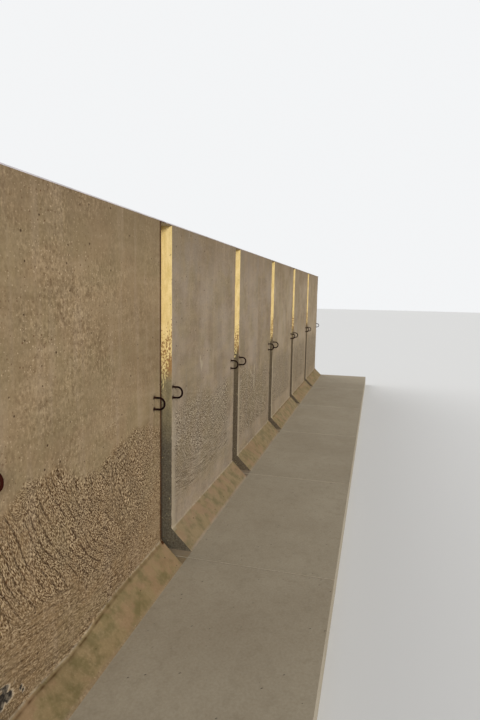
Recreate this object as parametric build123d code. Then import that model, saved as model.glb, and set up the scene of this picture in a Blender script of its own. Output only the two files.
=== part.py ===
from build123d import *
import os

# Row of precast concrete L-shaped retaining wall elements.
# X runs along the wall, the feet reach towards -Y on the retained side, and +Z is up.
# The origin lies level with the underside of the feet, in the middle of the row and of its depth.

# Row
bay_count = 6
element_width = 1990.0
joint_width = 10.0

# Casting
wall_height = 2750.0
stem_thickness = 200.0
foot_depth = 1500.0
foot_thickness = 200.0
haunch_rise = 170.0
haunch_run = 170.0
arris_chamfer = 10.0

# Grout recess in both back edges of every casting
recess_width = 95.0
recess_depth = 100.0
recess_head = 16.0

# Cast-in loops of bent bar
bar_diameter = 16.0
loop_height = 1480.0
loop_leg_spacing = 84.0
loop_projection = 85.0
loop_bend_radius = 40.0
near_loop_edge_distance = 22.0
far_loop_edge_distance = 125.0

# How far each loop was tied above or below the set height, from the near end of the row
near_loop_lifts = (-15.0, -6.0, 2.0, 13.0, 22.0, 18.0)
far_loop_lifts = (-26.0, 5.0, 14.0, 24.0, 26.0, 20.0)

# Compressible strip in each joint
seal_depth = 60.0
seal_top_cover = 45.0

# Places worked out from the sizes
bay_pitch = element_width + joint_width
row_length = bay_count * bay_pitch - joint_width
front_y = foot_depth / 2
heel_y = -foot_depth / 2
back_y = front_y - stem_thickness
recess_floor_y = back_y + recess_depth
recess_top_z = wall_height - recess_head
lip_middle_y = (front_y + recess_floor_y) / 2


def element_left(index):
    """X of a casting's near end."""
    return -row_length / 2 + index * bay_pitch


def l_profile():
    """Side outline of a casting, in Y and Z."""
    points = [
        (front_y, 0),
        (front_y, wall_height),
        (back_y, wall_height),
        (back_y, foot_thickness + haunch_rise),
        (back_y - haunch_run, foot_thickness),
        (heel_y, foot_thickness),
        (heel_y, 0),
    ]
    return make_face(Polyline([(0, y, z) for y, z in points], close=True))


def recess_cut(near_x):
    """Block taken out of one back edge, from the foot up to the thin head, haunch and all."""
    width = recess_width
    depth = recess_depth + haunch_run
    height = recess_top_z - foot_thickness
    block = Box(width, depth, height, align=(Align.MIN, Align.MAX, Align.MIN))
    return Pos(near_x, recess_floor_y, foot_thickness) * block


def wall_element(index):
    """One casting: stem, haunch and foot in one pour."""
    left = element_left(index)
    casting = Pos(left, 0, 0) * extrude(l_profile(), amount=element_width, dir=(1, 0, 0))
    top_edges = casting.faces().sort_by(Axis.Z)[-1].edges()
    front_edges = casting.edges().filter_by(Axis.Z).group_by(Axis.Y)[-1]
    casting = chamfer(top_edges + front_edges, length=arris_chamfer)
    casting -= recess_cut(left)
    casting -= recess_cut(left + element_width - recess_width)
    return casting


def loop_bar(centre_x, lift):
    """Bent bar that stands out of the back face as a lying U."""
    tip_y = back_y - loop_projection + bar_diameter / 2
    upper_z = loop_height + lift + loop_leg_spacing / 2
    lower_z = loop_height + lift - loop_leg_spacing / 2
    route = FilletPolyline(
        (centre_x, back_y, upper_z),
        (centre_x, tip_y, upper_z),
        (centre_x, tip_y, lower_z),
        (centre_x, back_y, lower_z),
        radius=loop_bend_radius,
    )
    start = Plane(origin=(centre_x, back_y, upper_z), z_dir=(0, -1, 0))
    return sweep(start * Circle(bar_diameter / 2), path=route)


def joint_seal(index):
    """Strip pressed between the front lips of two neighbours."""
    near_x = element_left(index) + element_width
    height = wall_height - seal_top_cover - foot_thickness
    strip = Box(joint_width, seal_depth, height, align=(Align.MIN, Align.CENTER, Align.MIN))
    return Pos(near_x, lip_middle_y, foot_thickness) * strip


nodes = {}

# Castings with their two loops each, named from the near end of the row
for index in range(bay_count):
    number = index + 1
    near_loop_x = element_left(index) + recess_width + near_loop_edge_distance
    far_loop_x = element_left(index) + element_width - recess_width - far_loop_edge_distance
    near_lift = near_loop_lifts[index % len(near_loop_lifts)]
    far_lift = far_loop_lifts[index % len(far_loop_lifts)]
    nodes[f"wall_element_{number}"] = wall_element(index)
    nodes[f"loop_{number}_near"] = loop_bar(near_loop_x, near_lift)
    nodes[f"loop_{number}_far"] = loop_bar(far_loop_x, far_lift)

# Strips in the joints between the castings
for index in range(bay_count - 1):
    nodes[f"joint_seal_{index + 1}"] = joint_seal(index)

os.makedirs("parts", exist_ok=True)
for name, shape in nodes.items():
    export_step(shape, f"parts/{name}.step")
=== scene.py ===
import math

import bmesh
import bpy
import numpy as np
from mathutils import Matrix, Vector


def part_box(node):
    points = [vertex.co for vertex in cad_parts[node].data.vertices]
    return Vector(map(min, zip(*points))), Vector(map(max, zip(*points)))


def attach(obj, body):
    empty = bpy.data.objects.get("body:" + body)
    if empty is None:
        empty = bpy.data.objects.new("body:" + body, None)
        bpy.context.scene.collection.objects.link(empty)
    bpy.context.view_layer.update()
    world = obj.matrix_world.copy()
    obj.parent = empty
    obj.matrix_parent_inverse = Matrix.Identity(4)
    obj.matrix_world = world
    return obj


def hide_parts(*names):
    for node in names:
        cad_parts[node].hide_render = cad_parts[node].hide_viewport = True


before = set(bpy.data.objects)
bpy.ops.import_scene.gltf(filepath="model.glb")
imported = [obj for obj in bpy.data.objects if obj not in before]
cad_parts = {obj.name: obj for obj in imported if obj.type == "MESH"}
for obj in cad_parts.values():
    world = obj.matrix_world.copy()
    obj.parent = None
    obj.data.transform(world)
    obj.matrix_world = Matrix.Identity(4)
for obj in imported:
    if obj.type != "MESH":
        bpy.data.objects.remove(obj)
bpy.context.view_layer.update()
scene = bpy.context.scene
scene.view_settings.view_transform = "Standard"


# Camera
# Stands on the foot side by the near casting, at eye height, and looks along the row with a wide lens.
camera_place = (-7.571, -0.952, 2.230)
camera_yaw = math.radians(14.69)
camera_pitch = math.radians(-7.14)
camera_roll = math.radians(1.02)
camera_lens = 25.83
camera_film = 36.0
camera_reach = (0.05, 400.0)

camera = bpy.data.objects.new("camera", bpy.data.cameras.new("camera"))
scene.collection.objects.link(camera)
camera.data.lens = camera_lens
camera.data.sensor_width = camera_film
camera.data.clip_start, camera.data.clip_end = camera_reach
turn = Matrix.Rotation(camera_yaw - math.pi / 2, 4, "Z")
tilt = Matrix.Rotation(math.pi / 2 + camera_pitch, 4, "X")
lean = Matrix.Rotation(camera_roll, 4, "Z")
camera.matrix_world = Matrix.Translation(camera_place) @ turn @ tilt @ lean
scene.camera = camera


# Castings: the shape
# Each real piece is one pour of stem, haunch and foot, cast lying on its front face in a steel mould.
# The mould leaves the front and ends smooth; the back is struck off and floated by hand, and left rough below.
element_count = 6
element_width = 1.990
recess_width = 0.095
far_recess_x = element_width - recess_width
heel_y = -0.750
foot_break_y = 0.360
haunch_toe_y = 0.380
stem_back_y = 0.550
recess_floor_y = 0.650
front_y = 0.750
foot_top_z = 0.200
haunch_top_z = 0.370
rough_top_z = 1.480
recess_top_z = 2.734
wall_top_z = 2.750
mould_chamfer = 0.010
worn_arris = 0.004

# How close the grid lines for the relief lie
upper_row_pitch = 0.020
recess_pitch = 0.010
haunch_pitch = 0.012
front_pitch = 0.040
foot_pitch = 0.020

# Two places count as one when they are this near, more loosely once there is relief
touching = 1e-4
slack = 1e-3
# How nearly a face has to look a way, from what angle an edge is an arris, and from what length it is no bevel's
facing = 0.9
sharp = 0.6
beyond_bevels = 0.05


def lift(bm, faces, offset, open_below=True):
    """Extrudes the faces by the offset and gives the new end faces."""
    made = bmesh.ops.extrude_face_region(bm, geom=faces)["geom"]
    corners = [part for part in made if isinstance(part, bmesh.types.BMVert)]
    bmesh.ops.translate(bm, verts=corners, vec=offset)
    if open_below:
        bmesh.ops.delete(bm, geom=faces, context="FACES")
    return [part for part in made if isinstance(part, bmesh.types.BMFace)]


def cut_edges(bm, pitch, chosen):
    """Divides every chosen edge into equal parts about as long as the pitch."""
    edges = [edge for edge in bm.edges if chosen(*(corner.co for corner in edge.verts))]
    longest = max(edge.calc_length() for edge in edges)
    cuts = max(1, round(longest / pitch) - 1)
    bmesh.ops.subdivide_edges(bm, edges=edges, cuts=cuts)


def bevel_arrises(bm, width, segments, chosen):
    """Bevels every chosen edge that is sharp and stands out."""
    edges = []
    for edge in bm.edges:
        if edge.calc_face_angle(0) > sharp and edge.is_convex:
            if chosen(*(corner.co for corner in edge.verts)):
                edges.append(edge)
    bmesh.ops.bevel(
        bm, geom=edges, offset=width, offset_type="OFFSET", segments=segments,
        profile=0.5, affect="EDGES", material=-1, clamp_overlap=True,
    )


def smooth_mesh(name, bm):
    """Turns the bmesh into a mesh with smooth faces."""
    for face in bm.faces:
        face.smooth = True
    mesh = bpy.data.meshes.new(name)
    bm.to_mesh(mesh)
    bm.free()
    return mesh


def from_recess(x):
    """Distance along X to the nearer recess side."""
    return min(abs(x - recess_width), abs(x - far_recess_x))


def plain_casting(pitch):
    """A casting with its near end at X 0 and a grid on its back of about the given pitch."""
    bm = bmesh.new()
    plan_x = (0.0, recess_width, far_recess_x, element_width)
    plan_y = (heel_y, foot_break_y, haunch_toe_y, stem_back_y, recess_floor_y, front_y)
    columns, rows = len(plan_x) - 1, len(plan_y) - 1
    bmesh.ops.create_grid(bm, x_segments=columns, y_segments=rows, size=1.0)
    for corner in bm.verts:
        corner.co.x = plan_x[round((corner.co.x + 1) * columns / 2)]
        corner.co.y = plan_y[round((corner.co.y + 1) * rows / 2)]

    # Foot, then the stem in three lifts, narrower where the recesses are
    stem = []
    for face in lift(bm, bm.faces[:], (0, 0, foot_top_z), open_below=False):
        place = face.calc_center_median()
        between = recess_width < place.x < far_recess_x
        if place.y > recess_floor_y or (place.y > stem_back_y and between):
            stem.append(face)
    for rise in (haunch_top_z - foot_top_z, recess_top_z - haunch_top_z, wall_top_z - recess_top_z):
        stem = lift(bm, stem, (0, 0, rise))

    # The thin head closes both recesses at the top
    bm.normal_update()
    backs = [face for face in bm.faces if face.normal.y < -facing]
    heads = []
    haunch = []
    for face in backs:
        place = face.calc_center_median()
        if place.z > recess_top_z and abs(place.y - recess_floor_y) < touching:
            heads.append(face)
        if foot_top_z < place.z < haunch_top_z and abs(place.y - stem_back_y) < touching:
            haunch.append(face)
    for face in heads:
        lift(bm, [face], (0, stem_back_y - recess_floor_y, 0))

    # The haunch is a block whose outer face is closed down to a line
    for face in lift(bm, haunch, (0, haunch_toe_y - stem_back_y, 0)):
        for corner in face.verts:
            corner.co.z = foot_top_z

    # Faces left inside the solid go before the parts are merged
    bm.normal_update()
    inside = []
    for face in bm.faces:
        place = face.calc_center_median()
        in_head = place.z > recess_top_z and stem_back_y < place.y < recess_floor_y
        under_haunch = haunch_toe_y < place.y < stem_back_y and recess_width < place.x < far_recess_x
        if from_recess(place.x) < touching and in_head:
            inside.append(face)
        elif under_haunch and abs(place.z - foot_top_z) < touching:
            inside.append(face)
    bmesh.ops.delete(bm, geom=inside, context="FACES")
    bmesh.ops.remove_doubles(bm, verts=bm.verts, dist=touching / 10)
    bmesh.ops.recalc_face_normals(bm, faces=bm.faces)

    def same(first, second):
        return abs(first - second) < touching

    def runs_along(a, b):
        return abs(a.x - b.x) > 0.75 * element_width

    def stands_up(a, b):
        return abs(a.z - b.z) > 0.7 * wall_top_z

    # Chamfers from the mould along the top and up the front
    def moulded_arris(a, b):
        at_top = min(a.z, b.z) > wall_top_z - touching
        return at_top or (min(a.y, b.y) > front_y - touching and abs(a.z - b.z) > mould_chamfer)

    bevel_arrises(bm, mould_chamfer, 1, moulded_arris)

    # Smaller wear on the arrises by the recesses
    def recess_arris(a, b):
        beside = from_recess(a.x) < touching and same(a.x, b.x)
        return beside and max(a.y, b.y) < recess_floor_y - slack and abs(a.z - b.z) > beyond_bevels

    bevel_arrises(bm, worn_arris, 2, recess_arris)

    # Grid for the relief: columns on the back, columns on the recess walls, rows on the haunch and the back
    def on_back(a):
        in_depth = haunch_toe_y - slack < a.y < stem_back_y + mould_chamfer + slack
        return in_depth and a.z > foot_top_z - slack

    def across_recess_wall(a, b):
        level = same(a.x, b.x) and same(a.z, b.z) and abs(a.y - b.y) > beyond_bevels
        inside_wall = min(a.y, b.y) > stem_back_y - slack and max(a.y, b.y) < recess_floor_y + slack
        below_chamfer = foot_top_z - slack < a.z < wall_top_z - 1.5 * mould_chamfer
        return level and inside_wall and below_chamfer and from_recess(a.x) < touching

    def down_haunch(a, b):
        return min(abs(a.y - b.y), abs(a.z - b.z)) > beyond_bevels

    def up_back(a, b):
        between = recess_width - slack < a.x < far_recess_x + slack
        return stands_up(a, b) and max(a.y, b.y) < recess_floor_y + slack and between

    fine_rows = (rough_top_z - haunch_top_z) / pitch
    coarse_rows = (recess_top_z - rough_top_z) / upper_row_pitch
    row_pitch = (recess_top_z - haunch_top_z) / (fine_rows + coarse_rows)
    cut_edges(bm, pitch, lambda a, b: runs_along(a, b) and on_back(a) and on_back(b))
    cut_edges(bm, recess_pitch, across_recess_wall)
    cut_edges(bm, haunch_pitch, down_haunch)
    cut_edges(bm, row_pitch, up_back)

    # Coarser grids on the front and on top of the foot
    def on_front(a, b):
        return min(a.y, b.y) > front_y - mould_chamfer - slack

    def across_foot(a, b):
        return runs_along(a, b) and max(a.y, b.y) < foot_break_y + slack and min(a.z, b.z) > foot_top_z - slack

    def down_foot(a, b):
        return abs(a.y - b.y) > foot_break_y - heel_y - slack and min(a.z, b.z) > foot_top_z - slack

    cut_edges(bm, front_pitch, lambda a, b: runs_along(a, b) and on_front(a, b))
    cut_edges(bm, front_pitch, lambda a, b: stands_up(a, b) and on_front(a, b))
    cut_edges(bm, foot_pitch, across_foot)
    cut_edges(bm, foot_pitch, down_foot)

    # Rows drawn together in the rough lower part of the back
    fine_share = fine_rows / (fine_rows + coarse_rows)
    for corner in bm.verts:
        place = corner.co
        if haunch_top_z < place.z < recess_top_z and place.y < recess_floor_y + touching:
            share = (place.z - haunch_top_z) / (recess_top_z - haunch_top_z)
            if share < fine_share:
                place.z = haunch_top_z + (rough_top_z - haunch_top_z) * share / fine_share
            else:
                upper_share = (share - fine_share) / (1 - fine_share)
                place.z = rough_top_z + (recess_top_z - rough_top_z) * upper_share

    bmesh.ops.recalc_face_normals(bm, faces=bm.faces)
    for edge in bm.edges:
        edge.smooth = edge.calc_face_angle(0) < sharp
    return smooth_mesh("plain_casting", bm)


# Castings: the hand finish
# The back is floated and swells a little; below a wavy line it keeps the overlapping sweeps of a coarse comb or
# broom. The first casting's sweeps and line follow the photograph, and each later sweep wipes out the one before.
lattice_columns, lattice_rows = 61, 67
groove_spacing = 0.045
bar_radius = 0.008

# Upper edge of the rough part on each casting: distance from the near end, height
rough_lines = (
    ((0.0, 0.27, 0.39, 0.57, 0.70, 0.85, 1.00, 1.20, 1.45, 1.60, 1.75, 1.90),
     (1.22, 1.30, 1.40, 1.35, 1.30, 1.23, 1.21, 1.30, 1.36, 1.33, 1.30, 1.25)),
    ((0.12, 0.40, 0.78, 1.05, 1.35, 1.72), (1.30, 1.35, 1.36, 1.29, 1.32, 1.34)),
    ((0.05, 0.60, 1.10, 1.80), (1.41, 1.32, 1.22, 1.30)),
    ((0.10, 0.70, 1.30, 1.90), (1.28, 1.35, 1.24, 1.31)),
    ((0.10, 0.50, 1.20, 1.90), (1.34, 1.26, 1.33, 1.25)),
    ((0.10, 0.80, 1.40, 1.90), (1.27, 1.36, 1.30, 1.38)),
)
# How softly it fades out there, on the first casting and on the later ones
first_fade, later_fade = 0.07, 0.22
# Sweeps on each casting: a point they pass and its height, their fall in degrees and their radius, the middle and
# half size of the patch that they cover, their depth, and how short their strokes are (1 long, near 0 short)
sweeps = (
    ((0.95, 0.90, 4, 3.0, 0.95, 0.90, 1.2, 0.7, 0.6, 1.0),
     (0.615, 0.95, 56, 1.9, 0.70, 0.98, 0.62, 0.42, 1.0, 1.0),
     (1.45, 1.00, 62, 0.9, 1.42, 1.02, 0.34, 0.26, 0.7, 1.0),
     (0.35, 0.62, 13, 3.5, 0.30, 0.55, 0.55, 0.17, 0.6, 0.6),
     (1.10, 0.50, 4, 4.0, 1.10, 0.47, 0.8, 0.10, 0.5, 0.6)),
    ((0.95, 0.90, -3, 2.4, 0.95, 0.90, 1.2, 0.7, 0.6, 1.0),
     (0.60, 0.95, 14, 1.6, 0.60, 1.00, 0.42, 0.24, 0.8, 0.5),
     (0.40, 0.85, 42, 1.2, 0.36, 0.85, 0.24, 0.13, 0.7, 0.15),
     (0.80, 0.60, 1, 4.0, 0.95, 0.62, 1.1, 0.22, 0.7, 0.09)),
    ((0.95, 0.90, 16, 3.0, 0.95, 0.90, 1.2, 0.7, 0.6, 0.5),
     (0.85, 1.15, 48, 0.7, 0.85, 1.18, 0.20, 0.16, 0.8, 1.0),
     (1.20, 0.70, 18, 3.0, 1.10, 0.70, 0.7, 0.22, 0.9, 0.12)),
    ((0.95, 0.90, 10, 3.0, 0.95, 0.90, 1.2, 0.7, 0.6, 0.5),
     (0.50, 0.90, 22, 1.5, 0.60, 0.95, 0.5, 0.28, 0.8, 0.4)),
    ((0.95, 0.90, 8, 2.5, 0.95, 0.90, 1.2, 0.7, 0.6, 0.5),
     (1.30, 0.90, 35, 1.1, 1.20, 0.90, 0.5, 0.30, 0.9, 0.4)),
    ((0.95, 0.90, -6, 2.8, 0.95, 0.90, 1.2, 0.7, 0.6, 0.5),
     (0.60, 0.95, 45, 1.2, 0.70, 0.95, 0.6, 0.30, 0.9, 0.4)),
)
# How far the first casting's haunch was struck off too low: distance from the near end, drop; and its run-out
haunch_drops = ((0.10, 0.35, 0.65, 0.80, 0.98, 1.20), (0.045, 0.036, 0.055, 0.045, 0.016, 0.0))
drop_run_out = 0.12
# Spalls on each casting: their middle, half size and depth
spalls = (
    ((0.165, 0.450, 0.058, 0.050, 0.009),
     (0.281, 0.418, 0.010, 0.009, 0.006),
     (0.296, 0.393, 0.008, 0.008, 0.005)),
    ((0.46, 2.695, 0.005, 0.018, 0.004),),
    (), (), (), (),
)
# Pale scrapes on each casting: their middle, half size and lean
scrapes = (
    (),
    ((0.765, 1.645, 0.014, 0.045, 0.0),
     (0.800, 1.600, 0.030, 0.040, 0.0)),
    ((0.890, 1.120, 0.030, 0.110, 0.0),
     (0.900, 1.270, 0.026, 0.080, 0.25),
     (0.710, 1.270, 0.026, 0.080, -1.4)),
    (), (), (),
)
# Chips along the recess edges, the ridge over the haunch, and the hollow and rust run at each loop's feet
chip_depth, chip_reach = 0.008, 0.008
ridge_height, ridge_reach = 0.003, 0.007
hollow_depth, hollow_half_width, hollow_half_height = 0.003, 0.022, 0.017
run_half_width, run_length = 0.006, 0.11
# Width of the painted shade line down the far recess edge
shade_line_width = 0.034


def ease(value):
    """Smooth step from 0 to 1."""
    value = np.clip(value, 0, 1)
    return value * value * (3 - 2 * value)


def waves(x, z, reach_x, reach_z, seed):
    """Smooth random swell between -1 and 1 with bumps as wide and high as the two reaches."""
    lattice = np.random.default_rng(seed).uniform(-1, 1, (lattice_columns, lattice_rows))
    column, row = x / reach_x, z / reach_z
    left, low = np.floor(column).astype(int), np.floor(row).astype(int)
    across, up = ease(column - left), ease(row - low)
    right, high = (left + 1) % lattice_columns, (low + 1) % lattice_rows
    left, low = left % lattice_columns, low % lattice_rows
    lower = lattice[left, low] * (1 - across) + lattice[right, low] * across
    upper = lattice[left, high] * (1 - across) + lattice[right, high] * across
    return lower * (1 - up) + upper * up


def roughness_of_back(x, z, index):
    """How rough the back was left: 0 above the wavy line, up to 1 below it, less where it was gone over again."""
    seed = 100 * (index + 1)
    line = np.interp(x, *rough_lines[index]) + 0.035 * waves(x, z, 0.10, 0.10, seed)
    if index == 0:
        by_far_edge = ease((x - 1.50) / 0.30)
        return ease((line - z) / first_fade + 0.5) * (1 - 0.32 * by_far_edge)
    by_near_edge = ease((0.20 - x) / 0.08)
    by_far_edge = ease((x - 1.62) / 0.12)
    low_down = ease((0.60 + 0.03 * waves(x, z, 0.15, 1.0, seed + 11) - z) / 0.08)
    rough = ease((line - z) / later_fade + 0.5) * (1 - 0.60 * by_near_edge)
    return rough * (1 - 0.75 * low_down) * (1 - 0.60 * by_far_edge)


def floated_back(x, z, index):
    """Relief of the back in metres, outwards positive, how rough it is, and the place within its sweep.

    That place is the distance from the sweep's centre, the way along it, and 0 to 1 for how far from a seam.
    """
    seed = 100 * (index + 1)
    strokes = np.zeros_like(x)
    along = np.zeros((len(x), 3))
    along[:, 2] = 1
    for order, sweep in enumerate(sweeps[index]):
        pass_x, pass_z, fall, radius, middle_x, middle_z, half_x, half_z, depth, short = sweep
        own_seed = seed + 10 * order
        shallow = 0.5 if short < 1 or index > 0 else 1.0
        brushed = 0.35 if short < 0.2 else 0.6 if short < 1 else 1.0

        # Polar place about the sweep's centre, and the patch that it covers
        angle = math.radians(-fall)
        centre_x, centre_z = pass_x - radius * math.sin(angle), pass_z + radius * math.cos(angle)
        distance = np.hypot(x - centre_x, z - centre_z)
        arc = radius * np.arctan2(x - centre_x, centre_z - z)
        ragged = 0.25 * waves(distance, arc, 0.05, 0.25, own_seed + 3)
        off_middle = np.hypot((x - middle_x) / half_x, (z - middle_z) / half_z)
        cover = ease((1.25 - off_middle + ragged) / 0.35)

        # Broken grooves at an even spacing, and narrow strokes between them
        wander = 0.024 * min(1.0, 0.25 + 1.25 * short)
        distance = distance + wander * waves(distance, arc, 0.11, 0.22, own_seed + 4)
        groove = np.clip(np.cos(2 * np.pi * distance / groove_spacing), 0, 1) ** 6
        groove = groove * ease(waves(distance, arc, groove_spacing, 0.12, own_seed + 5) + 0.4)
        narrow = waves(distance, arc, 0.011, 0.030 / short, own_seed + 6)
        strokes = strokes * (1 - cover) + shallow * depth * (0.0007 * narrow - 0.0020 * groove) * cover

        won = cover > 0.5
        along[won, 0] = distance[won]
        along[won, 1] = short * arc[won] + 10 * order + 100 * index
        along[:, 2] *= np.where(won, 1, 1 - cover)
        along[:, 2] = np.where(won, np.clip(2 * cover - 1, 0, 1) * brushed, along[:, 2])

    rough = roughness_of_back(x, z, index)
    swell = 0.0014 * waves(x, z, 0.50, 0.38, seed + 1) + 0.0006 * waves(x, z, 0.14, 0.10, seed + 2)
    pebbles = 0.0006 * waves(x, z, 0.013, 0.012, seed + 6) + 0.0005 * waves(x, z, 0.045, 0.040, seed + 7)
    peel = 0.0008 * waves(x, z, 0.017, 0.015, seed + 9) + 0.0005 * waves(x, z, 0.033, 0.024, seed + 10)
    drag = waves(x + 0.5 * z, z - 0.5 * x, 0.30, 0.22, seed + 8)
    smooth = (1 - rough) * peel * ease(0.35 + 0.9 * drag)
    relief = swell + smooth + rough * (strokes + pebbles) - 0.0010 * rough
    return relief, rough, along


def back_tone(x, z, ridge_z, index):
    """Paler or darker places of the back, from -1 for the darkest, the painted shade down the far recess edge, to
    1 for pale fines.
    """
    seed = 1000 + 50 * index

    # Painted shade as a dark line down the far recess edge, and a paler trowelled band by the near one
    tone = -ease((x - far_recess_x + shade_line_width) / 0.012) * (0.92 + 0.08 * waves(z, x, 0.05, 1.0, seed + 12))
    band = ease((0.20 - x) / 0.08) * ease((1.40 - z) / 0.2) * (index > 0)
    tone = tone + band * (0.6 + 0.4 * waves(x, z, 0.05, 0.2, seed + 10))

    # Pale burr on the line over the haunch, dark just under it
    burr = waves(x, z, 0.024, 1.0, seed + 13)
    tone = tone + ease(1 - np.abs(z - ridge_z) / 0.008) * (0.55 + 0.75 * burr)
    tone = tone - ease(1 - np.abs(z - ridge_z + 0.013) / 0.008) * (0.60 - 0.40 * burr)

    for middle_x, middle_z, half_x, half_z, slant in scrapes[index]:
        off_x = x - middle_x - slant * (z - middle_z)
        rim = np.hypot(off_x / half_x, (z - middle_z) / half_z) + 0.4 * waves(x, z, 0.012, 0.02, seed + 11)
        tone = np.maximum(tone, ease((1.1 - rim) / 0.4))
    return tone * (z > ridge_z - 0.022)


def material_by_place(mesh, near_x):
    """Number of each face's material: 0 floated, 1 from the mould, 2 recess, 3 top arris."""
    centre, normal = np.empty(len(mesh.polygons) * 3), np.empty(len(mesh.polygons) * 3)
    mesh.polygons.foreach_get("center", centre)
    mesh.polygons.foreach_get("normal", normal)
    x, y, z = centre.reshape(-1, 3).T
    x = x - near_x
    sideways = np.abs(normal[0::3]) > facing
    downwards = normal[2::3] < -facing
    kind = np.zeros(len(x), int)
    on_foot = (y < haunch_toe_y - slack) & (z < foot_top_z + 0.01)
    kind[(y > front_y - mould_chamfer - 2 * slack) | sideways | downwards | on_foot] = 1

    by_recess = (x < recess_width + slack) | (x > far_recess_x - slack)
    in_depth = (y > stem_back_y + worn_arris / 2) & (y < recess_floor_y + 0.003)
    in_recess = in_depth & (z > foot_top_z + slack) & (z < recess_top_z + slack)
    haunch_side = sideways & (y > haunch_toe_y) & (y < recess_floor_y) & (z > foot_top_z)
    inside_ends = (x > slack) & (x < element_width - slack)
    kind[by_recess & (in_recess | haunch_side) & inside_ends] = 2
    kind[downwards & (z > rough_top_z)] = 2
    kind[z > wall_top_z - mould_chamfer] = 3
    return kind


def finish_casting(mesh, index):
    """Moves a copy of the plain casting to its place in the row, works its surfaces and paints its masks."""
    near_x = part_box(f"wall_element_{index + 1}")[0].x
    place = np.empty(len(mesh.vertices) * 3)
    mesh.vertices.foreach_get("co", place)
    place = place.reshape(-1, 3)
    x, y, z = place.T.copy()
    seed = 1000 + 50 * index

    # The haunch's top line first, because everything near it follows
    drop = np.interp(x, *haunch_drops) * (index == 0)
    up_slope = (z - foot_top_z) / (haunch_top_z - foot_top_z)
    run_out = ease((haunch_top_z + drop_run_out - z) / drop_run_out)
    reached = np.clip(np.where(z > haunch_top_z, run_out, up_slope), 0, 1)
    z = z - drop * reached * (y > haunch_toe_y - touching) * (y < stem_back_y + worn_arris + touching)
    place[:, 2] = z
    ridge_z = haunch_top_z - drop
    relief, rough, along = floated_back(x, z, index)

    # Back: full relief on the face, run out over the worn arris, and chips along the recess edges
    share = np.clip(1 - (y - stem_back_y) / worn_arris, 0, 1)
    share = share * (y > stem_back_y - touching) * (z > ridge_z - touching)
    from_edge = np.minimum(np.abs(x - recess_width), np.abs(x - far_recess_x))
    chip = np.clip(waves(x * 0 + index, z, 1.0, 0.035, seed) - 0.45, 0, 1) * np.exp(-from_edge / chip_reach)
    ridge = np.exp(-((z - ridge_z) / ridge_reach) ** 2) * (1 + 0.8 * waves(x, z, 0.04, 1.0, seed + 1))
    place[:, 1] -= share * (relief + ridge_height * ridge - chip_depth * chip)

    spall = np.zeros(len(x))
    for middle_x, middle_z, half_x, half_z, depth in spalls[index]:
        rim = np.hypot((x - middle_x) / half_x, (z - middle_z) / half_z)
        hole = ease((1.1 - rim - 0.5 * waves(x, z, 0.022, 0.014, seed + 2)) / 0.3) * share
        spall = np.maximum(spall, hole)
        place[:, 1] += depth * hole * (0.7 + 0.3 * waves(x, z, 0.012, 0.010, seed + 3))

    # Haunch and top of the foot, floated in passing
    on_slope = (y > haunch_toe_y + slack) & (y < stem_back_y - slack) & (z > foot_top_z + slack)
    place[on_slope, 2] += 0.0025 * waves(x, y, 0.07, 0.05, seed + 4)[on_slope]
    on_foot = (y > heel_y + 0.01) & (y < foot_break_y - slack) & (np.abs(z - foot_top_z) < touching)
    on_foot = on_foot & (x > slack) & (x < element_width - slack)
    foot_swell = 0.0012 * waves(x, y, 0.32, 0.26, seed + 5) + 0.0003 * waves(x, y, 0.06, 0.05, seed + 6)
    place[on_foot, 2] += foot_swell[on_foot]

    # Mould faces are a little out of true, always inwards
    on_front = y > front_y - touching
    place[on_front, 1] -= 0.0006 + 0.0006 * waves(x, z, 0.6, 0.5, seed + 7)[on_front]

    # Painted shade along the lower edge of the thin head over each recess, darkest where it meets the recess side
    tone = back_tone(x, z, ridge_z, index) * (y < stem_back_y + worn_arris)
    under_head = (np.abs(z - recess_top_z) < slack) & (y > stem_back_y - 0.01) & (y < recess_floor_y + slack)
    under_head = under_head & (np.minimum(x, element_width - x) < recess_width + slack)
    by_joint = (x < slack) | (x > element_width - slack)
    tone = np.where(under_head, -0.95 + 0.55 * by_joint, tone)

    # Rust runs from the feet of the two loops, and the hollow round each
    rust = np.zeros(len(x))
    for side in ("near", "far"):
        loop_low, loop_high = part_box(f"loop_{index + 1}_{side}")
        middle = (loop_low.x + loop_high.x) / 2 - near_x
        for foot_z in (loop_low.z + bar_radius, loop_high.z - bar_radius):
            off_x, below = x - middle, foot_z - z
            near = np.exp(-((off_x / hollow_half_width) ** 2 + (below / hollow_half_height) ** 2) ** 2)
            place[:, 1] += hollow_depth * near * share
            run = np.exp(-((off_x - 0.003 * waves(z, x, 0.03, 1.0, seed + 8)) / run_half_width) ** 2)
            run = run * np.clip(below / 0.005, 0, 1) * np.clip(1 - below / run_length, 0, 1) ** 1.5
            rust = np.maximum(rust, np.maximum(near, 0.6 * run))
    place[:, 0] += near_x
    mesh.vertices.foreach_set("co", place.ravel())

    # Masks for the material
    slope = np.clip((ridge_z + 0.002 - z) / 0.010, 0, 1) * np.clip((z - foot_top_z - 0.005) / 0.010, 0, 1)
    masks = {"rough": rough * share, "rust": rust * share, "spall": spall, "tone": tone, "slope": slope}
    for name, values in masks.items():
        mesh.attributes.new(name, "FLOAT", "POINT").data.foreach_set("value", values.astype(np.float32))
    sweep = mesh.attributes.new("sweep", "FLOAT_VECTOR", "POINT")
    sweep.data.foreach_set("vector", along.astype(np.float32).ravel())
    mesh.polygons.foreach_set("material_index", material_by_place(mesh, near_x).astype(np.int32))
    mesh.update()


# Castings: the concrete
# Buff concrete, darker and browner where it was left rough, paler and yellow in the recesses, where sunlight and
# shade are painted into the colour.
# Grain and pinholes are shared by all its faces, so they are node groups. The near end lies at X -5.995, and the
# patterns change at the first three joints.
first_joint_x, second_joint_x, third_joint_x = -4.0, -2.0, 0.0


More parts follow.
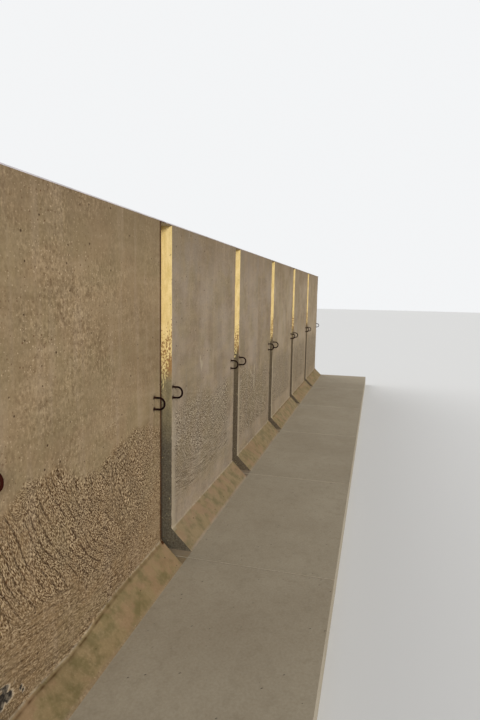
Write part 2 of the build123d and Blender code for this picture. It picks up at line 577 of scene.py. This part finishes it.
def paint(red, green, blue):
    """Linear colour from the 0 to 255 values seen on a screen."""
    return tuple(((value / 255 + 0.055) / 1.055) ** 2.4 for value in (red, green, blue)) + (1.0,)


class Graph:
    """Shader nodes with short calls, in which a socket given as a value is linked."""

    def __init__(self, owner):
        self.nodes = owner.nodes
        self.links = owner.links

    def put(self, socket, value):
        if isinstance(value, bpy.types.NodeSocket):
            self.links.new(value, socket)
        else:
            socket.default_value = value

    def add(self, kind, inputs=None, **settings):
        node = self.nodes.new(kind)
        for name, value in settings.items():
            setattr(node, name, value)
        for name, value in (inputs or {}).items():
            self.put(node.inputs[name], value)
        return node

    def effect(self, group, place, **values):
        """Puts in a node group with its own values and gives its results."""
        return self.add("ShaderNodeGroup", {"Place": place, **values}, node_tree=group).outputs

    def attribute(self, name, output="Fac"):
        return self.add("ShaderNodeAttribute", attribute_name=name).outputs[output]

    def parts(self, vector):
        return self.add("ShaderNodeSeparateXYZ", {"Vector": vector}).outputs

    def stretch(self, place, scale, turn=(0, 0, 0)):
        """Makes a pattern closer along each axis by the scale, once it is turned."""
        inputs = {"Vector": place, "Rotation": turn, "Scale": scale}
        return self.add("ShaderNodeMapping", inputs).outputs[0]

    def math(self, operation, *values):
        return self.add("ShaderNodeMath", dict(enumerate(values)), operation=operation).outputs[0]

    def plus(self, first, second):
        return self.math("ADD", first, second)

    def minus(self, first, second):
        return self.math("SUBTRACT", first, second)

    def times(self, first, second):
        return self.math("MULTIPLY", first, second)

    def noise(self, place, scale, detail=2.0, roughness=0.5):
        inputs = {"Vector": place, "Scale": scale, "Detail": detail, "Roughness": roughness}
        return self.add("ShaderNodeTexNoise", inputs).outputs["Fac"]

    def span(self, value, low, high, to_low=0.0, to_high=1.0):
        """Turns a range of the value into another and holds it at the ends."""
        inputs = {"Value": value, "From Min": low, "From Max": high, "To Min": to_low, "To Max": to_high}
        return self.add("ShaderNodeMapRange", inputs, clamp=True).outputs[0]

    def mix(self, share, first, second):
        node = self.add("ShaderNodeMix", {"Factor": share}, data_type="RGBA")
        colours = [socket for socket in node.inputs if socket.type == "RGBA"]
        self.put(colours[0], first)
        self.put(colours[1], second)
        return [socket for socket in node.outputs if socket.type == "RGBA"][0]


def effect_group(name, inputs, outputs):
    """An empty node group with a Place, named values and named results."""
    group = bpy.data.node_groups.new(name, "ShaderNodeTree")
    group.interface.new_socket(name="Place", in_out="INPUT", socket_type="NodeSocketVector")
    for label, value in inputs.items():
        socket = group.interface.new_socket(name=label, in_out="INPUT", socket_type="NodeSocketFloat")
        socket.default_value = value
    for label in outputs:
        group.interface.new_socket(name=label, in_out="OUTPUT", socket_type="NodeSocketFloat")
    given = group.nodes.new("NodeGroupInput").outputs
    result = group.nodes.new("NodeGroupOutput").inputs
    return group, Graph(group), given, result


def new_material(name, roughness, specular=0.3):
    """A material with its graph, its shader's inputs and the place on the object."""
    material = bpy.data.materials.new(name)
    material.use_nodes = True
    graph = Graph(material.node_tree)
    surface = material.node_tree.nodes["Principled BSDF"].inputs
    surface["Roughness"].default_value = roughness
    surface["Specular IOR Level"].default_value = specular
    return material, graph, surface, graph.add("ShaderNodeTexCoord").outputs["Object"]


def coat(graph, surface, colour, height, depth):
    """Gives a material its colour and a bump of the given depth in metres."""
    bump = graph.add("ShaderNodeBump", {"Height": height, "Distance": depth})
    graph.put(surface["Base Color"], colour)
    graph.put(surface["Normal"], bump.outputs["Normal"])


# Grain: sand and small stones near the surface, as a tone between 0 and 1 and a height
sand_grain, graph, given, result = effect_group("sand_grain", {"Coarse": 90.0, "Fine": 420.0}, ("Tone", "Height"))
coarse = graph.noise(given["Place"], given["Coarse"], 3.0, 0.6)
fine = graph.noise(given["Place"], given["Fine"], 2.0, 0.6)
both = graph.plus(graph.times(coarse, 0.6), graph.times(fine, 0.4))
graph.put(result["Tone"], both)
graph.put(result["Height"], graph.span(both, 0.25, 0.75))

# Pinholes: small air holes, each a dot of its own size. The cells are skewed, to show on upright faces both ways
hole_inputs = {"Spacing": 22.0, "Size": 0.10, "Share": 0.35}
pinholes, graph, given, result = effect_group("pinholes", hole_inputs, ("Hole",))
skewed = {}
for axis, way in (("X", (1.0, 0.71, 0.0)), ("Y", (0.0, 0.71, 1.0))):
    inputs = {0: given["Place"], 1: way}
    skewed[axis] = graph.add("ShaderNodeVectorMath", inputs, operation="DOT_PRODUCT").outputs["Value"]
flat = graph.add("ShaderNodeCombineXYZ", skewed).outputs[0]
inputs = {"Vector": flat, "Scale": given["Spacing"]}
cells = graph.add("ShaderNodeTexVoronoi", inputs, voronoi_dimensions="2D").outputs
lot = graph.add("ShaderNodeSeparateColor", {"Color": cells["Color"]}).outputs
size = graph.times(given["Size"], graph.math("MULTIPLY_ADD", lot[1], 0.8, 0.5))
round_hole = graph.span(graph.minus(size, cells["Distance"]), 0.0, 0.03)
graph.put(result["Hole"], graph.times(round_hole, graph.math("LESS_THAN", lot[0], given["Share"])))

# Floated concrete of the back, the haunch and the top of the foot
floated, graph, surface, place = new_material("floated_concrete", 0.94, 0.12)
where = graph.parts(place)
rough = graph.attribute("rough")
smooth = graph.minus(1.0, rough)
haunch = graph.attribute("slope")
later = graph.span(where["X"], first_joint_x - 0.03, first_joint_x + 0.03)

# Base colour, greyer from casting to casting, with blotches, smudges and hanging stains
warm = graph.mix(later, paint(143, 121, 91), paint(149, 133, 114))
warm = graph.mix(graph.span(where["X"], third_joint_x - 0.2, third_joint_x + 0.2), warm, paint(157, 140, 117))
warm_rough = graph.mix(later, paint(135, 110, 78), paint(144, 130, 110))
browner = graph.span(where["X"], second_joint_x - 0.2, second_joint_x + 0.2, 0.0, 0.6)
warm_rough = graph.mix(browner, warm_rough, paint(128, 112, 88))
colour = graph.mix(rough, warm, warm_rough)
blotch = graph.noise(place, 2.6, 3.0, 0.55)
colour = graph.mix(graph.span(blotch, 0.40, 0.64, 0.0, 0.54), colour, paint(114, 95, 68))
green = graph.span(graph.noise(place, 3.1, 2.0, 0.5), 0.46, 0.60, 0.0, 0.38)
colour = graph.mix(green, colour, paint(131, 116, 84))
slanted = graph.stretch(place, (3.5, 9.0, 13.0), (0.0, math.radians(25), 0.0))
smudge = graph.noise(slanted, 1.0, 3.0, 0.6)
colour = graph.mix(graph.span(smudge, 0.45, 0.70, 0.0, 0.38), colour, paint(162, 142, 112))
colour = graph.mix(graph.span(where["Z"], 2.35, wall_top_z, 0.0, 0.60), colour, paint(118, 100, 76))
hung = graph.noise(graph.stretch(place, (9.0, 9.0, 0.9)), 1.0, 3.0, 0.55)
hung_tone = graph.mix(later, paint(126, 108, 84), paint(124, 116, 106))
colour = graph.mix(graph.span(hung, 0.36, 0.50, 0.22, 0.0), colour, hung_tone)
colour = graph.mix(graph.span(hung, 0.52, 0.66, 0.0, 0.22), colour, paint(166, 146, 124))

# Haunch: olive stains and pinkish patches
stain = graph.span(graph.noise(place, 11.0, 3.0, 0.6), 0.42, 0.62)
haunch_tone = graph.mix(stain, paint(138, 118, 82), paint(106, 95, 58))
pink = graph.span(graph.noise(place, 5.0, 3.0, 0.6), 0.50, 0.60, 0.0, 0.7)
haunch_tone = graph.mix(pink, haunch_tone, paint(146, 116, 86))
colour = graph.mix(graph.times(haunch, 0.75), colour, haunch_tone)

# Dashes follow the sweeps where it was left rough; pebbles lie anywhere, in patches where it is smooth
stroke = graph.attribute("sweep", "Vector")
stroke_parts = graph.parts(stroke)
off_seam = stroke_parts["Z"]
across = graph.times(stroke_parts["X"], graph.span(later, 0.0, 1.0, 185.0, 125.0))
lengthways = graph.times(stroke_parts["Y"], 54.0)
dash_place = graph.add("ShaderNodeCombineXYZ", {"X": across, "Y": lengthways}).outputs[0]
dash = graph.noise(dash_place, 1.0, 1.0, 0.5)
sand = graph.effect(sand_grain, place, Coarse=105.0, Fine=220.0)
dash_share = graph.times(off_seam, 0.72)
strokes = graph.plus(graph.times(dash, dash_share), graph.times(sand["Tone"], graph.minus(1.0, dash_share)))
smear = graph.noise(graph.stretch(place, (57.0, 57.0, 43.0)), 1.0, 4.0, 0.65)
smear = graph.plus(0.225, graph.times(smear, 0.55))
mixed = graph.plus(graph.times(strokes, rough), graph.times(smear, smooth))

# How strong that pattern is: first where smooth, then where rough, then both together
patch = graph.span(graph.noise(place, 3.4, 2.0, 0.5), 0.38, 0.62, 0.18, 0.56)
for strength in (
    graph.span(where["X"], -5.4, -4.7, 1.0, 0.31),
    graph.span(haunch, 0.0, 1.0, 1.0, 0.5),
    graph.span(where["Z"], 2.15, 2.55, 1.0, 0.65),
    graph.span(where["Z"], 1.35, 2.15, 0.60, 1.0),
):
    patch = graph.times(patch, strength)
swirl = graph.span(graph.noise(place, 7.5, 2.0, 0.5), 0.36, 0.62, 0.60, 1.20)
swirl = graph.times(swirl, graph.span(where["Z"], 0.72, 0.56, 1.0, 0.72))
amount = graph.plus(graph.times(rough, swirl), graph.times(smooth, patch))
amount = graph.times(amount, graph.span(later, 0.0, 1.0, 1.05, 0.75))
amount = graph.times(amount, graph.span(where["X"], -5.5, -4.8, 1.0, 1.55))
# Dark low spots and pale high spots follow the relief's height: the grain's colour with painted shade in the
# hollows and painted highlights on the bumps
hollow_shade = graph.times(graph.span(mixed, 0.49, 0.42), amount)
bump_highlight = graph.times(graph.span(mixed, 0.51, 0.58), amount)
low_tone = graph.mix(later, paint(74, 50, 28), paint(82, 68, 50))
high_tone = graph.mix(later, paint(196, 170, 134), paint(188, 172, 148))
colour = graph.mix(graph.times(hollow_shade, 0.85), colour, low_tone)
colour = graph.mix(graph.times(bump_highlight, 0.80), colour, high_tone)

# Grooves of the sweeps, evenly spaced, thin and broken, darkened with painted shade
turns = graph.math("DIVIDE", stroke_parts["X"], groove_spacing)
turns = graph.plus(turns, graph.times(graph.noise(place, 36.0, 2.0, 0.6), 0.26))
within_turn = graph.math("FRACT", graph.plus(turns, 0.37))
from_groove = graph.math("ABSOLUTE", graph.minus(within_turn, 0.5))
breaks = graph.span(graph.noise(graph.stretch(stroke, (22.0, 12.0, 0.0)), 1.0, 3.0, 0.65), 0.43, 0.54)
line = graph.times(graph.span(from_groove, 0.155, 0.070), graph.times(breaks, off_seam))
line = graph.times(line, graph.span(where["X"], -4.85, -4.60, 1.0, 0.45))
line = graph.times(line, graph.times(rough, graph.span(sand["Tone"], 0.66, 0.50, 0.35, 1.0)))
groove_shade = graph.times(line, graph.span(later, 0.0, 1.0, 0.76, 1.00))
colour = graph.mix(groove_shade, colour, paint(60, 39, 20))

# Pale sand grains and dark air holes, fewer of both at the far end of the first casting and on the later ones
clusters = graph.span(graph.noise(place, 2.3, 3.0, 0.6), 0.36, 0.60, 0.35, 1.0)
fewer = graph.times(clusters, graph.span(haunch, 0.0, 1.0, 1.0, 0.2))
scatter = graph.times(graph.span(where["X"], -5.3, -4.5, 1.0, 0.45), fewer)
specks = graph.times(graph.effect(pinholes, place, Spacing=48.0, Size=0.17, Share=0.30)["Hole"], scatter)
colour = graph.mix(graph.times(specks, 0.65), colour, paint(198, 174, 142))
dots = graph.times(graph.effect(pinholes, place, Spacing=38.0, Size=0.15, Share=0.30)["Hole"], scatter)
colour = graph.mix(graph.times(dots, 0.80), colour, paint(88, 54, 32))
holes = graph.effect(pinholes, place, Spacing=9.0, Size=0.055, Share=0.30)["Hole"]
colour = graph.mix(graph.times(holes, 0.85), colour, paint(58, 36, 22))

# Dark tone, which is painted shade down the far recess edge and along the head's lower edge, with the dark line
# under the haunch ridge; pale fines, spalls with a paler rim, and rust under the loops
tone = graph.attribute("tone")
colour = graph.mix(graph.span(tone, 0.0, -1.0), colour, paint(64, 35, 10))
colour = graph.mix(graph.times(graph.span(tone, 0.0, 1.0), 0.7), colour, paint(172, 157, 132))
spall = graph.attribute("spall")
chipped = graph.mix(graph.span(graph.noise(place, 60.0), 0.45, 0.62), paint(44, 39, 34), paint(104, 94, 80))
colour = graph.mix(graph.span(spall, 0.02, 0.30, 0.0, 0.7), colour, paint(172, 156, 132))
colour = graph.mix(graph.span(spall, 0.40, 0.80), colour, chipped)
rust_mask = graph.times(graph.attribute("rust"), graph.span(graph.noise(place, 160.0), 0.1, 0.38))
colour = graph.mix(rust_mask, colour, paint(28, 11, 7))
height = graph.times(graph.span(mixed, 0.30, 0.70), amount)
height = graph.minus(height, graph.times(line, 0.5))
height = graph.minus(height, graph.times(holes, 0.4))
coat(graph, surface, colour, height, 0.004)

# Concrete against the mould: front, ends, underside
moulded, graph, surface, place = new_material("moulded_concrete", 0.80)
blotch = graph.noise(place, 1.7, 4.0, 0.6)
colour = graph.mix(graph.span(blotch, 0.3, 0.7), paint(154, 141, 119), paint(168, 156, 134))
streak = graph.noise(graph.stretch(place, (14.0, 14.0, 0.7)), 1.0, 3.0, 0.6)
colour = graph.mix(graph.span(streak, 0.5, 0.8, 0.0, 0.4), colour, paint(134, 121, 98))
sand = graph.effect(sand_grain, place, Coarse=60.0, Fine=350.0)
sandy = graph.mix(graph.span(sand["Tone"], 0.4, 0.6), paint(96, 86, 68), paint(200, 194, 180))
colour = graph.mix(0.10, colour, sandy)
holes = graph.effect(pinholes, place, Spacing=16.0, Size=0.06, Share=0.22)["Hole"]
colour = graph.mix(graph.times(holes, 0.8), colour, paint(70, 62, 50))
coat(graph, surface, colour, graph.minus(graph.times(sand["Height"], 0.12), holes), 0.003)

# Concrete inside the recesses, with light painted in: pale and yellow above as painted sunlight, mottled brown
# about the middle as the painted ragged edge of the shadow, dark below as painted shade
recessed, graph, surface, place = new_material("recess_concrete", 0.88)
where = graph.parts(place)
fleck = graph.noise(graph.stretch(place, (80.0, 80.0, 46.0)), 1.0, 2.0, 0.6)
streak = graph.noise(graph.stretch(place, (42.0, 42.0, 5.0)), 1.0, 2.0, 0.5)
outward = graph.span(where["Y"], recess_floor_y - 0.010, stem_back_y + 0.005)

# Share of painted shade from 0 at the top to 1 at the foot, sooner on the outer half and at the first joint
level = graph.plus(where["Z"], graph.times(graph.minus(streak, 0.5), 0.30))
level = graph.plus(level, graph.span(where["X"], -3.5, -2.5, 0.0, 0.11))
half_shaded = graph.span(graph.minus(level, graph.times(outward, 0.10)), 1.98, 1.82, 0.0, 0.5)
fully_shaded = graph.span(graph.minus(level, graph.times(outward, 0.36)), 1.45, 1.33, 0.0, 0.5)
limit = graph.math("MULTIPLY_ADD", graph.plus(half_shaded, fully_shaded), 0.44, 0.28)
shade_share = graph.span(graph.minus(fleck, limit), 0.03, -0.03)

tinge = graph.noise(graph.stretch(place, (30.0, 30.0, 9.0)), 1.0, 3.0, 0.55)
# Painted sunlight: pale yellow, dimmer just above the shadow's edge
pale = graph.mix(graph.span(tinge, 0.35, 0.65), paint(198, 172, 108), paint(216, 191, 133))
pale = graph.mix(graph.span(where["Z"], 1.72, 1.58, 0.0, 0.7), pale, paint(172, 156, 104))
# Painted shade: dark at the foot, olive higher up, brown at the shadow's edge, browner farther along the row
painted_shade = graph.mix(graph.span(graph.noise(place, 14.0, 3.0), 0.35, 0.65), paint(58, 49, 35), paint(46, 39, 27))
olive = graph.mix(graph.span(tinge, 0.35, 0.65), paint(98, 86, 59), paint(122, 107, 75))
painted_shade = graph.mix(graph.span(where["Z"], 1.02, 1.42), painted_shade, olive)
painted_shade = graph.mix(graph.span(where["X"], -2.6, -2.4, 0.0, 0.85), painted_shade, paint(56, 42, 25))
painted_shade = graph.mix(graph.span(where["Z"], 1.56, 1.66), painted_shade, paint(134, 98, 52))
colour = graph.mix(shade_share, pale, painted_shade)
sand = graph.effect(sand_grain, place, Coarse=70.0, Fine=240.0)
sandy = graph.mix(graph.span(sand["Tone"], 0.4, 0.6), paint(80, 60, 34), paint(240, 226, 190))
colour = graph.mix(0.07, colour, sandy)
holes = graph.effect(pinholes, place, Spacing=26.0, Size=0.10, Share=0.05)["Hole"]
colour = graph.mix(graph.times(holes, 0.6), colour, paint(110, 84, 48))

# Painted shade where the recess is deepest, stronger low down, and the pale underside of the head
deep_shade = graph.span(where["Y"], recess_floor_y - 0.024, recess_floor_y - 0.010)
deep_shade = graph.times(deep_shade, graph.span(where["Z"], 1.75, 1.50, 0.10, 0.85))
colour = graph.mix(deep_shade, colour, paint(40, 29, 16))
under_head = graph.span(where["Z"], recess_top_z - 0.0015, recess_top_z - 0.0005)
colour = graph.mix(under_head, colour, paint(172, 160, 140))
coat(graph, surface, colour, graph.minus(graph.times(sand["Height"], 0.2), holes), 0.003)

# Top with its chamfers: pale concrete, with a painted highlight and sky reflection in its lilac-white
topped, graph, surface, place = new_material("top_painted_sheen", 0.85)
blotch = graph.noise(place, 7.0, 3.0)
colour = graph.mix(graph.span(blotch, 0.35, 0.65), paint(216, 208, 210), paint(190, 183, 185))
sand = graph.effect(sand_grain, place, Coarse=80.0, Fine=300.0)
sandy = graph.mix(graph.span(sand["Tone"], 0.4, 0.6), paint(100, 94, 90), paint(214, 210, 210))
colour = graph.mix(0.15, colour, sandy)
coat(graph, surface, colour, sand["Height"], 0.001)


def new_piece(name, mesh, *materials):
    """An object of the mesh and its materials, in the scene at the origin."""
    for material in materials:
        mesh.materials.append(material)
    piece = bpy.data.objects.new(name, mesh)
    scene.collection.objects.link(piece)
    return piece


# Finer grids for the castings nearer the camera
nearest = plain_casting(0.0064)
middle = plain_casting(0.008)
far_off = plain_casting(0.012)
for index in range(element_count):
    name = f"cast_element_{index + 1}"
    mesh = (nearest, middle, far_off, far_off, far_off, far_off)[index].copy()
    mesh.name = name
    finish_casting(mesh, index)
    casting = new_piece(name, mesh, floated, moulded, recessed, topped)
    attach(casting, "root")
    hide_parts(f"wall_element_{index + 1}")
for mesh in (nearest, middle, far_off):
    bpy.data.meshes.remove(mesh)


# Loops
# Plain round bar bent to a lying U and cast into the stem near both edges, for tying neighbours together.
# Never painted: brown-black mill scale with orange rust breaking through, most of it at the feet.
bend_radius = 0.040
bar_cover = 0.012
bar_sides = 16
leg_steps, bend_steps, back_steps = 12, 14, 3
flake_size = 0.006
flake_depth = 0.00035

rusted, graph, surface, place = new_material("rusted_bar", 0.78, 0.05)
where = graph.parts(place)
scale = graph.noise(place, 140.0, 3.0, 0.6)
patch = graph.noise(place, 38.0, 3.0, 0.6)
colour = graph.mix(graph.span(scale, 0.35, 0.65), paint(10, 3, 2), paint(26, 9, 5))
colour = graph.mix(graph.span(patch, 0.56, 0.72, 0.0, 0.5), colour, paint(66, 26, 12))
feet = graph.times(graph.span(where["Y"], stem_back_y - 0.020, stem_back_y - 0.002), graph.span(scale, 0.3, 0.6))
colour = graph.mix(feet, colour, paint(48, 24, 13))
nearest_bar = graph.span(where["X"], -5.2, -5.6, 0.0, 0.9)
colour = graph.mix(nearest_bar, colour, paint(42, 10, 1))
graph.put(surface["Roughness"], graph.span(patch, 0.4, 0.7, 0.66, 0.92))
coat(graph, surface, colour, scale, 0.0012)


def sweep_bar(bm, geometry, steps, dvec=(0, 0, 0), centre=(0, 0, 0), angle=0.0):
    """Carries the bar's end ring on by a straight run or a bend, and gives the new end ring."""
    step = tuple(value / steps for value in dvec)
    return bmesh.ops.spin(
        bm, geom=geometry, cent=centre, axis=(1, 0, 0), dvec=step, angle=angle, steps=steps,
        use_merge=False, use_normal_flip=False, use_duplicate=False,
    )["geom_last"]


def bent_bar(low, high):
    """A loop's bar that fills the box from low to high, with its ends closed inside the concrete."""
    middle_x = (low.x + high.x) / 2
    upper_z, lower_z = high.z - bar_radius, low.z + bar_radius
    bend_y = low.y + bar_radius + bend_radius
    start_y = stem_back_y + bar_cover
    quarter = math.pi / 2
    bm = bmesh.new()
    start = Matrix.Translation((middle_x, start_y, upper_z)) @ Matrix.Rotation(quarter, 4, "X")
    bmesh.ops.create_circle(bm, segments=bar_sides, radius=bar_radius, matrix=start)
    ring = bm.verts[:] + bm.edges[:]
    ring = sweep_bar(bm, ring, leg_steps, dvec=(0, bend_y - start_y, 0))
    ring = sweep_bar(bm, ring, bend_steps, centre=(middle_x, bend_y, upper_z - bend_radius), angle=quarter)
    ring = sweep_bar(bm, ring, back_steps, dvec=(0, 0, lower_z - upper_z + 2 * bend_radius))
    ring = sweep_bar(bm, ring, bend_steps, centre=(middle_x, bend_y, lower_z + bend_radius), angle=quarter)
    sweep_bar(bm, ring, leg_steps, dvec=(0, start_y - bend_y, 0))
    bmesh.ops.holes_fill(bm, edges=[edge for edge in bm.edges if edge.is_boundary])
    bmesh.ops.recalc_face_normals(bm, faces=bm.faces)
    bm.normal_update()
    return bm


for index in range(element_count):
    for side in ("near", "far"):
        node = f"loop_{index + 1}_{side}"
        bm = bent_bar(*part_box(node))
        seed = 5000 + 10 * index + (side == "far")
        line = np.array([corner.co for corner in bm.verts])
        flake = waves(line[:, 1] + line[:, 0], line[:, 2], flake_size, flake_size, seed)
        for corner, height in zip(bm.verts, flake):
            corner.co -= corner.normal * flake_depth * (1 + height)
        name = f"bar_{node}"
        bar = new_piece(name, smooth_mesh(name, bm), rusted)
        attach(bar, "root")
        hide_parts(node)


# Joint seals
# Strip of closed-cell rubber pressed between the front lips of two castings before they were drawn together.
# It is squeezed from 20 mm or so to the joint's width, so its free faces bulge and wander a little.
parts_across, parts_deep, parts_up = 4, 6, 90
bulge = 0.0035
wander_depth = 0.0012

rubber, graph, surface, place = new_material("seal_rubber", 0.70)
cell = graph.noise(place, 520.0, 2.0, 0.6)
dust = graph.noise(place, 18.0, 4.0, 0.65)
colour = graph.mix(graph.span(cell, 0.35, 0.65), paint(34, 34, 36), paint(52, 52, 54))
colour = graph.mix(graph.span(dust, 0.45, 0.75, 0.0, 0.6), colour, paint(96, 88, 76))
coat(graph, surface, colour, cell, 0.0008)

for index in range(element_count - 1):
    node = f"joint_seal_{index + 1}"
    low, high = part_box(node)
    size, middle = high - low, (low + high) / 2
    bm = bmesh.new()
    bmesh.ops.create_cube(bm, size=1.0)
    cut_edges(bm, 1 / parts_up, lambda a, b: abs(a.z - b.z) > 0.5)
    cut_edges(bm, 1 / parts_across, lambda a, b: abs(a.x - b.x) > 0.5)
    cut_edges(bm, 1 / parts_deep, lambda a, b: abs(a.y - b.y) > 0.5)
    bmesh.ops.scale(bm, verts=bm.verts, vec=size)
    bmesh.ops.translate(bm, verts=bm.verts, vec=middle)
    line = np.array([corner.co for corner in bm.verts])
    wander = waves(line[:, 2], line[:, 1], 0.11, 5.0, 7000 + index)
    for corner, drift in zip(bm.verts, wander):
        off_middle = abs(corner.co.x - middle.x) / (size.x / 2)
        depth = (corner.co.y - middle.y) / (size.y / 2)
        corner.co.y -= depth * (bulge * off_middle ** 2 + wander_depth * (1 + drift))
    bmesh.ops.recalc_face_normals(bm, faces=bm.faces)
    name = f"strip_{index + 1}"
    strip = new_piece(name, smooth_mesh(name, bm), rubber)
    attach(strip, "root")
    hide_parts(node)


# Floor and light
# Plain pale floor under an even pale surround, with one soft key from the near end and a softer one on the front.
floor_tone = (0.80, 0.80, 0.79, 1.0)
floor_radius = 90.0
floor_gap = 0.0005
surround_tone = (0.90, 0.91, 0.92, 1.0)
even_light = 0.36

bm = bmesh.new()
bmesh.ops.create_circle(bm, cap_ends=True, segments=96, radius=floor_radius)
bmesh.ops.translate(bm, verts=bm.verts, vec=(0, 0, -floor_gap))
floor_finish, graph, surface, _ = new_material("pale_floor", 1.0, 0.0)
graph.put(surface["Base Color"], floor_tone)
floor = new_piece("floor", smooth_mesh("floor", bm), floor_finish)

world = bpy.data.worlds.new("surround")
scene.world = world
world.use_nodes = True
world.node_tree.nodes.clear()
graph = Graph(world.node_tree)
lighting = graph.add("ShaderNodeBackground", {"Color": (1.0, 1.0, 1.0, 1.0), "Strength": even_light})
seen = graph.add("ShaderNodeBackground", {"Color": surround_tone, "Strength": 1.0})
path = graph.add("ShaderNodeLightPath").outputs
looked_at = graph.math("MAXIMUM", path["Is Camera Ray"], path["Is Glossy Ray"])
choice = graph.add("ShaderNodeMixShader", {0: looked_at, 1: lighting.outputs[0], 2: seen.outputs[0]})
graph.add("ShaderNodeOutputWorld", {"Surface": choice.outputs[0]})

# Lamps: the way each shines, its power and how wide it looks in degrees
for name, heading, power, width in (
    ("key", (0.80, 0.52, -0.28), 3.0, 20),
    ("front_fill", (-0.35, -0.80, -0.50), 1.7, 60),
):
    lamp = bpy.data.lights.new(name, "SUN")
    lamp.energy = power
    lamp.angle = math.radians(width)
    lamp_object = bpy.data.objects.new(name, lamp)
    lamp_object.rotation_euler = Vector(heading).to_track_quat("-Z", "Y").to_euler()
    scene.collection.objects.link(lamp_object)
